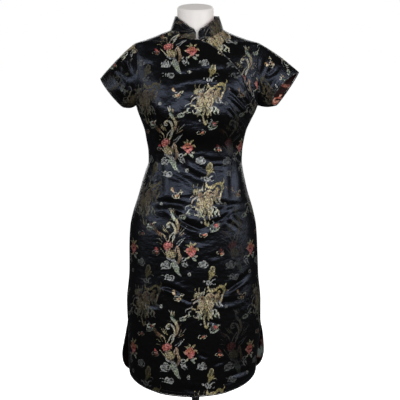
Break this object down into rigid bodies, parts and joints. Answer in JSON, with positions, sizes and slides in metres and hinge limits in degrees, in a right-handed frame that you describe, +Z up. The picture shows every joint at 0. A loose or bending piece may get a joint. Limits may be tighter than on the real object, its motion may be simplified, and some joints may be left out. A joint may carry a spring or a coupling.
{
  "type": "cheongsam dress on a limbless dress form",
  "caption": "Short-sleeved black brocade cheongsam with a stand-up collar, slanting overlap and side slits, on a white limbless dress form.",
  "frame": {"origin": "on the floor, at the middle of the round base's underside, on the pole's axis", "axes": "+Z up along the pole, -Y towards the dress's front, +X towards the wearer's left"},
  "size_m": [0.554, 0.38, 1.5237],
  "materials": {
    "brocade": "black satin with a woven pattern in many colours",
    "piping": "black satin",
    "form": "smooth white",
    "stand": "satin black"
  },
  "bodies": {
    "root": {"front": "brocade", "front_flap": "brocade", "back": "brocade", "sleeve_left": "brocade", "sleeve_right": "brocade", "collar": "brocade", "collar_piping": "piping", "placket_piping": "piping", "cuff_piping_left": "piping", "cuff_piping_right": "piping", "hem_piping_front": "piping", "hem_piping_back": "piping", "form_torso": "form", "flange": "stand", "pole": "stand", "hub": "stand", "base": "stand"}
  },
  "joints": []
}
